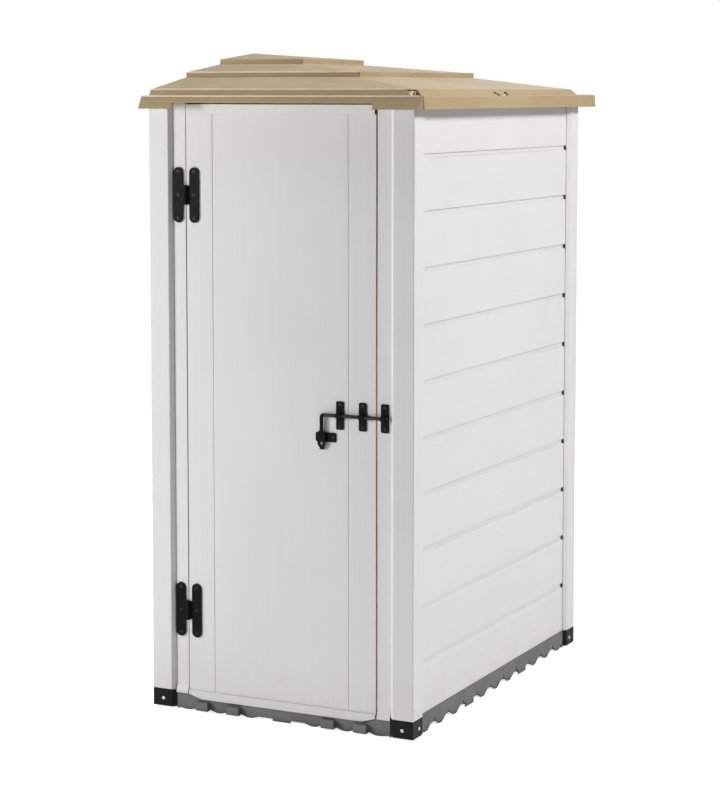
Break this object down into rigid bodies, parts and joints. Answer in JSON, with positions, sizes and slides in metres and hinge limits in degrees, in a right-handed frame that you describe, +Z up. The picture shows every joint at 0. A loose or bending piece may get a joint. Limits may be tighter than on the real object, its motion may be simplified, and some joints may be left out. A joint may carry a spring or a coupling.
{
  "type": "garden storage cabinet",
  "caption": "Tall free-standing garden storage cabinet with plank walls, a stepped pitched roof, a hinged door, a sliding bolt with a turning handle and a tiled floor.",
  "frame": {"origin": "on the ground under the middle of the bounding box", "axes": "+X to the right as one faces the door, +Y from the door towards the rear wall, +Z up"},
  "size_m": [0.868, 1.326, 1.8705],
  "materials": {
    "white_pvc": "smooth extruded plastic, satin",
    "roof_plastic": "moulded plastic with a light grain",
    "floor_plastic": "rough recycled plastic",
    "black_plastic": "moulded plastic, satin",
    "black_metal": "black powder coat",
    "black_screws": "black coated countersunk screws",
    "zinc_screws": "zinc plated"
  },
  "bodies": {
    "cabinet": {"bolt_keeper": "black_metal", "corner_clips": "white_pvc", "door_header": "white_pvc", "floor_tile_front_left": "floor_plastic", "floor_tile_front_right": "floor_plastic", "floor_tile_middle_left": "floor_plastic", "floor_tile_middle_right": "floor_plastic", "floor_tile_rear_left": "floor_plastic", "floor_tile_rear_right": "floor_plastic", "foot_front_left": "black_plastic", "foot_front_right": "black_plastic", "foot_rear_left": "black_plastic", "foot_rear_right": "black_plastic", "foot_screws": "zinc_screws", "hinge_frame_screws": "black_screws", "hinge_jamb": "white_pvc", "hinge_pins": "black_metal", "keeper_screws": "black_screws", "latch_jamb": "white_pvc", "left_wall_planks": "white_pvc", "lower_hinge_fixed_leaf": "black_metal", "post_front_left": "white_pvc", "post_front_right": "white_pvc", "post_rear_left": "white_pvc", "post_rear_right": "white_pvc", "post_screws": "zinc_screws", "rear_top_rail": "white_pvc", "rear_wall_planks": "white_pvc", "right_wall_plank_01": "white_pvc", "right_wall_plank_02": "white_pvc", "right_wall_plank_03": "white_pvc", "right_wall_plank_04": "white_pvc", "right_wall_plank_05": "white_pvc", "right_wall_plank_06": "white_pvc", "right_wall_plank_07": "white_pvc", "right_wall_plank_08": "white_pvc", "right_wall_plank_09": "white_pvc", "right_wall_plank_10": "white_pvc", "right_wall_plank_11": "white_pvc", "roof_front_panel": "roof_plastic", "roof_gable_panel": "roof_plastic", "roof_rear_panel": "roof_plastic", "roof_side_panel": "roof_plastic", "side_top_rails": "white_pvc", "upper_hinge_fixed_leaf": "black_metal"},
    "door": {"bolt_guide_left": "black_metal", "bolt_guide_right": "black_metal", "door_bottom_rail": "white_pvc", "door_centre_panel": "white_pvc", "door_hinge_stile": "white_pvc", "door_latch_stile": "white_pvc", "door_top_rail": "white_pvc", "hinge_door_screws": "black_screws", "latch_door_screws": "black_screws", "lower_hinge_door_leaf": "black_metal", "padlock_plate": "black_metal", "upper_hinge_door_leaf": "black_metal"},
    "bolt": {"bolt_rod": "black_metal"},
    "bolt_handle": {"bolt_handle": "black_metal"}
  },
  "joints": [
    {"name": "door_hinge", "type": "hinge", "parent": "cabinet", "child": "door", "pos_m": [-0.317, -0.605, 0.8785], "axis": [0, 0, -1], "range_deg": [0, 105]},
    {"name": "bolt_slide", "type": "slide", "parent": "door", "child": "bolt", "axis": [-1, 0, 0], "range_m": [0, 0.045]},
    {"name": "handle_turn", "type": "hinge", "parent": "bolt", "child": "bolt_handle", "pos_m": [0.1185, -0.6064, 0.8765], "axis": [-1, 0, 0], "range_deg": [0, 180]}
  ]
}
